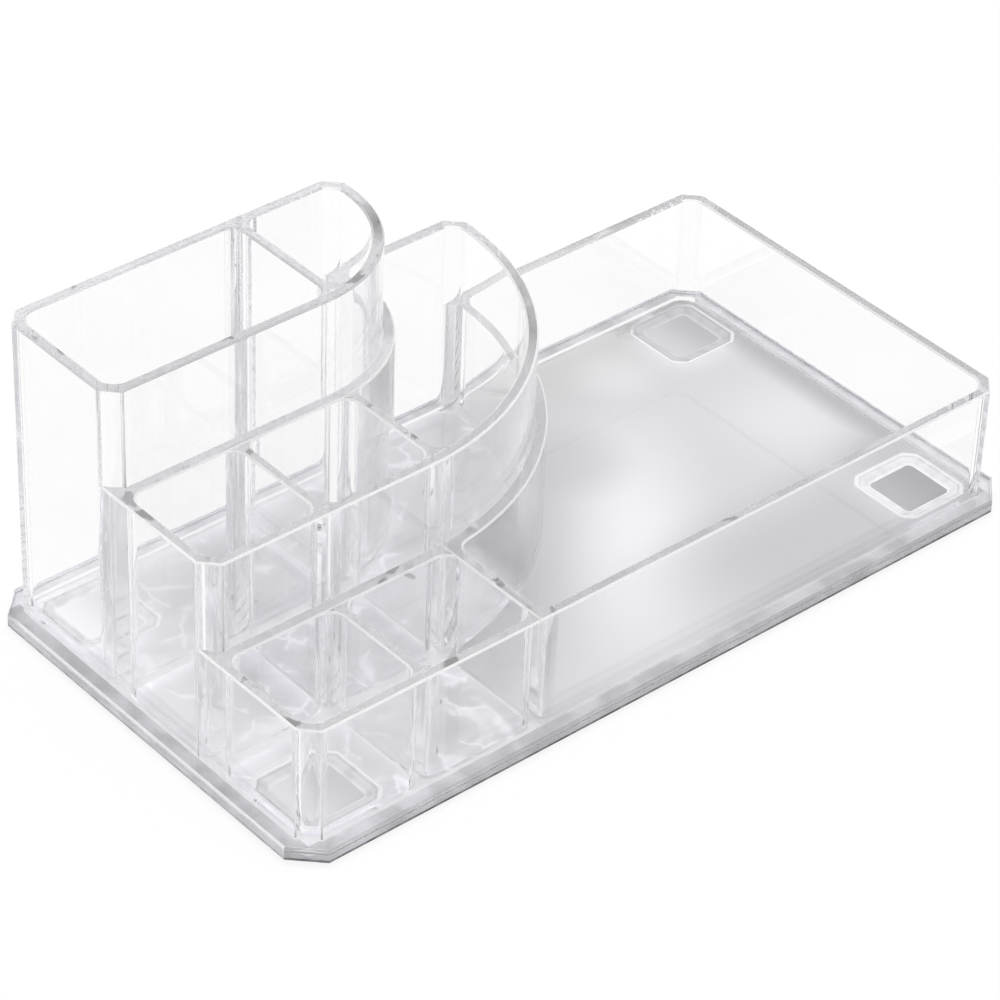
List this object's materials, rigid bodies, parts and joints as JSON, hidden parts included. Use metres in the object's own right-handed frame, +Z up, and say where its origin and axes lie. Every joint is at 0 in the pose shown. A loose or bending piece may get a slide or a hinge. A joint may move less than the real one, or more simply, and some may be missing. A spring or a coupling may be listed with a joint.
{
  "type": "acrylic makeup organizer",
  "caption": "Clear stepped desk organizer with upright cells in three tiers and a wide low tray, open on top, on a flanged base with feet.",
  "frame": {"origin": "on the surface it stands on, under the middle of the base plate", "axes": "+X along the long side towards the tray, +Y towards the tall tier at the back, +Z up"},
  "size_m": [0.24, 0.1286, 0.093],
  "materials": {
    "clear_wall": "polished clear acrylic",
    "clear_divider": "polished clear acrylic",
    "clear_base": "polished clear acrylic, silvery grey where it is seen flat",
    "clear_foot": "polished clear acrylic"
  },
  "bodies": {
    "root": {"tall_wall": "clear_wall", "mid_wall": "clear_wall", "low_wall": "clear_wall", "tray_wall": "clear_wall", "tall_divider": "clear_divider", "mid_divider_left": "clear_divider", "mid_divider_right": "clear_divider", "low_divider": "clear_divider", "base_plate": "clear_base", "foot_front_left": "clear_foot", "foot_front_right": "clear_foot", "foot_back_left": "clear_foot", "foot_back_right": "clear_foot"}
  },
  "joints": []
}
